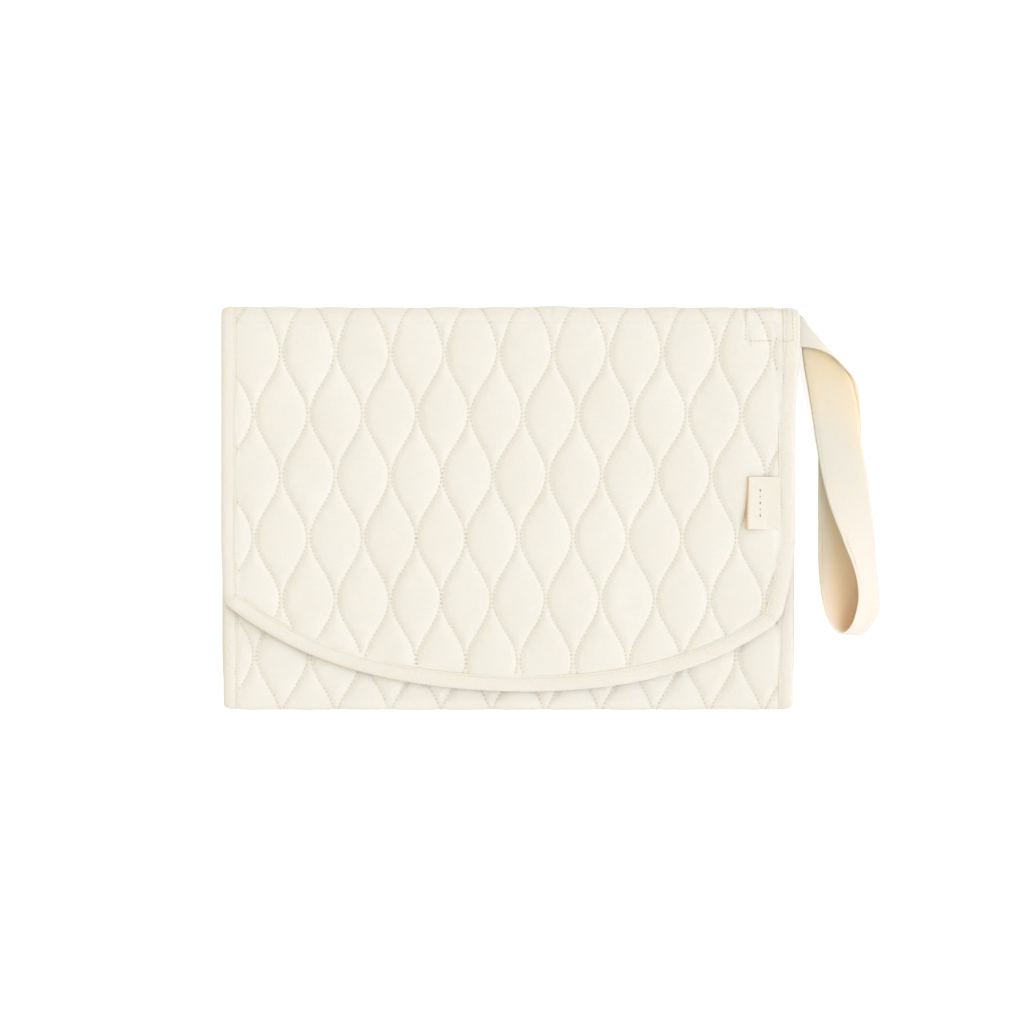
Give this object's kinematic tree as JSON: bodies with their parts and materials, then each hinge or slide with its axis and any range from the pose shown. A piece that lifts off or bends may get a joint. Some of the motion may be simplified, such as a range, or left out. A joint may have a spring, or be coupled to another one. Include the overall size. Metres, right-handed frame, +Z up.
{
  "type": "changing pad",
  "caption": "Travel changing pad: quilted padded mat with bound edges, folded in three, with a curved flap, tape closure and wrist strap.",
  "frame": {"origin": "centre of the underside of the folded pad's back panel", "axes": "+X across the pad to the wrist strap's side, +Y to the top fold, +Z up out of the folded pad"},
  "size_m": [0.3899, 0.24, 0.0216],
  "materials": {
    "quilted_cotton": "cream cotton, quilted in an ogee pattern",
    "wadding": "white polyester wadding",
    "membrane": "thin matte waterproof film",
    "lining": "smooth wipeable coated cotton, cream",
    "binding": "warm cream twill bias binding, topstitched",
    "thread": "cream sewing thread",
    "strap": "warm cream cotton twill strap, topstitched along one edge",
    "hook_tape": "cream nylon hook tape",
    "loop_tape": "cream brushed loop tape",
    "label": "cream woven ribbon, no lettering"
  },
  "bodies": {
    "back": {"back_outer_quilt": "quilted_cotton", "back_wadding": "wadding", "back_membrane": "membrane", "back_lining": "lining", "back_binding_left": "binding", "back_binding_right": "binding", "bottom_fold_outer_quilt": "quilted_cotton", "bottom_fold_wadding": "wadding", "bottom_fold_membrane": "membrane", "bottom_fold_lining": "lining", "bottom_fold_bindings": "binding", "top_fold_outer_quilt": "quilted_cotton", "top_fold_wadding": "wadding", "top_fold_membrane": "membrane", "top_fold_lining": "lining", "top_fold_bindings": "binding"},
    "front": {"front_outer_quilt": "quilted_cotton", "front_wadding": "wadding", "front_membrane": "membrane", "front_lining": "lining", "front_binding_left": "binding", "front_binding_right": "binding", "front_binding_top": "binding", "loop_tape": "loop_tape"},
    "flap": {"flap_outer_quilt": "quilted_cotton", "flap_wadding": "wadding", "flap_membrane": "membrane", "flap_lining": "lining", "flap_binding_left": "binding", "flap_binding_right": "binding", "flap_binding_curve": "binding", "hook_tape": "hook_tape", "strap_sewn_end": "strap", "strap_box_stitching": "thread", "strap_root_fold": "strap", "woven_label": "label"},
    "strap": {"wrist_strap": "strap"}
  },
  "joints": [
    {"name": "flap_open", "type": "hinge", "parent": "back", "child": "flap", "pos_m": [0, 0.1099, 0.0101], "axis": [-1, 0, 0], "range_deg": [0, 180], "deforming": ["top_fold_outer_quilt", "top_fold_wadding", "top_fold_membrane", "top_fold_lining", "top_fold_bindings"]},
    {"name": "front_unfold", "type": "hinge", "parent": "back", "child": "front", "pos_m": [0, -0.11385, 0.00615], "axis": [1, 0, 0], "range_deg": [0, 180], "deforming": ["bottom_fold_outer_quilt", "bottom_fold_wadding", "bottom_fold_membrane", "bottom_fold_lining", "bottom_fold_bindings"]},
    {"name": "strap_swing", "type": "hinge", "parent": "flap", "child": "strap", "pos_m": [0.184, 0.1, 0.0076], "axis": [0, 0, 1], "range_deg": [0, 100], "deforming": ["strap_root_fold"]}
  ],
  "couplings": [
    {"joint": "front_unfold", "follows": "flap_open", "ratio": 1}
  ]
}
